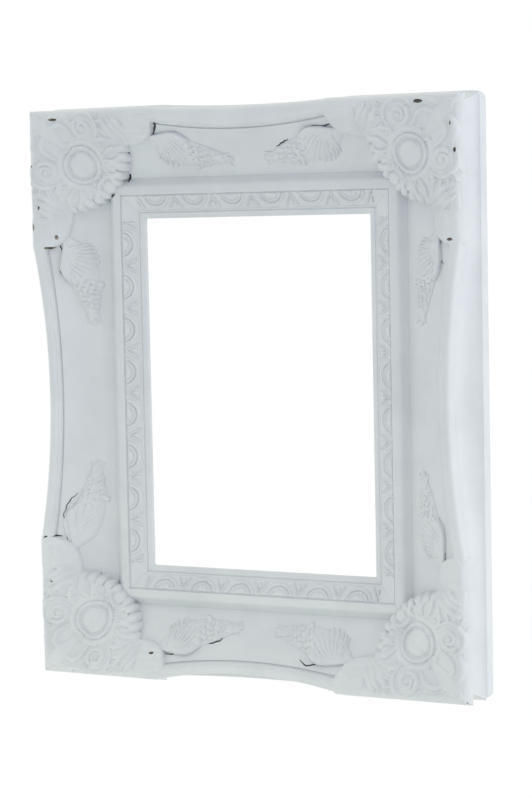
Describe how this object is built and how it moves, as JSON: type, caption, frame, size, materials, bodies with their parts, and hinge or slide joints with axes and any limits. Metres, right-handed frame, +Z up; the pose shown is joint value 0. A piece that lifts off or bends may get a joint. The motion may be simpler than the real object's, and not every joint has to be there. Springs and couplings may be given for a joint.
{
  "type": "swept picture frame",
  "caption": "Rectangular swept picture frame with bowed rims, scroll and leaf corner castings, a patterned sight slip, turn buttons and ring hangers.",
  "frame": {"origin": "middle of the back plane, where the frame lies against a wall", "axes": "+Z up, the front faces -Y, +X to the right of someone who looks at the front"},
  "size_m": [0.2318, 0.0325, 0.2828],
  "materials": {
    "painted_wood": "satin white paint",
    "painted_composition": "satin white paint over moulded composition",
    "zinc_plate": "zinc plated",
    "brass_plate": "brass plated"
  },
  "bodies": {
    "frame": {"plinth_bottom": "painted_wood", "face_rail_bottom": "painted_wood", "slip_bottom": "painted_wood", "plinth_right": "painted_wood", "face_rail_right": "painted_wood", "slip_right": "painted_wood", "plinth_top": "painted_wood", "face_rail_top": "painted_wood", "slip_top": "painted_wood", "plinth_left": "painted_wood", "face_rail_left": "painted_wood", "slip_left": "painted_wood", "corner_casting_bottom_left": "painted_composition", "corner_casting_bottom_right": "painted_composition", "corner_casting_top_right": "painted_composition", "corner_casting_top_left": "painted_composition", "spray_bottom_start": "painted_composition", "spray_bottom_end": "painted_composition", "spray_right_start": "painted_composition", "spray_right_end": "painted_composition", "spray_top_start": "painted_composition", "spray_top_end": "painted_composition", "spray_left_start": "painted_composition", "spray_left_end": "painted_composition", "v_nail_bottom_left_1": "zinc_plate", "v_nail_bottom_left_2": "zinc_plate", "v_nail_bottom_right_1": "zinc_plate", "v_nail_bottom_right_2": "zinc_plate", "v_nail_top_right_1": "zinc_plate", "v_nail_top_right_2": "zinc_plate", "v_nail_top_left_1": "zinc_plate", "v_nail_top_left_2": "zinc_plate", "turn_button_screw_bottom": "brass_plate", "turn_button_screw_right": "brass_plate", "turn_button_screw_top": "brass_plate", "turn_button_screw_left": "brass_plate", "hanger_strap_left": "zinc_plate", "hanger_strap_right": "zinc_plate", "hanger_screw_left": "zinc_plate", "hanger_screw_right": "zinc_plate"},
    "turn_button_bottom": {"turn_button_bottom": "brass_plate"},
    "turn_button_right": {"turn_button_right": "brass_plate"},
    "turn_button_top": {"turn_button_top": "brass_plate"},
    "turn_button_left": {"turn_button_left": "brass_plate"},
    "hanger_ring_left": {"hanger_ring_left": "zinc_plate"},
    "hanger_ring_right": {"hanger_ring_right": "zinc_plate"}
  },
  "joints": [
    {"name": "turn_button_bottom_swivel", "type": "hinge", "parent": "frame", "child": "turn_button_bottom", "pos_m": [0, -0.0028, -0.11], "axis": [0, -1, 0], "range_deg": [-30, 210]},
    {"name": "turn_button_right_swivel", "type": "hinge", "parent": "frame", "child": "turn_button_right", "pos_m": [0.0845, -0.0028, 0], "axis": [0, -1, 0], "range_deg": [-30, 210]},
    {"name": "turn_button_top_swivel", "type": "hinge", "parent": "frame", "child": "turn_button_top", "pos_m": [0, -0.0028, 0.11], "axis": [0, -1, 0], "range_deg": [-30, 210]},
    {"name": "turn_button_left_swivel", "type": "hinge", "parent": "frame", "child": "turn_button_left", "pos_m": [-0.0845, -0.0028, 0], "axis": [0, -1, 0], "range_deg": [-30, 210]},
    {"name": "hanger_ring_left_hinge", "type": "hinge", "parent": "frame", "child": "hanger_ring_left", "pos_m": [-0.0765, -0.0018, 0.045], "axis": [0, 0, 1], "range_deg": [0, 170]},
    {"name": "hanger_ring_right_hinge", "type": "hinge", "parent": "frame", "child": "hanger_ring_right", "pos_m": [0.0765, -0.0018, 0.045], "axis": [0, 0, -1], "range_deg": [0, 170]}
  ]
}
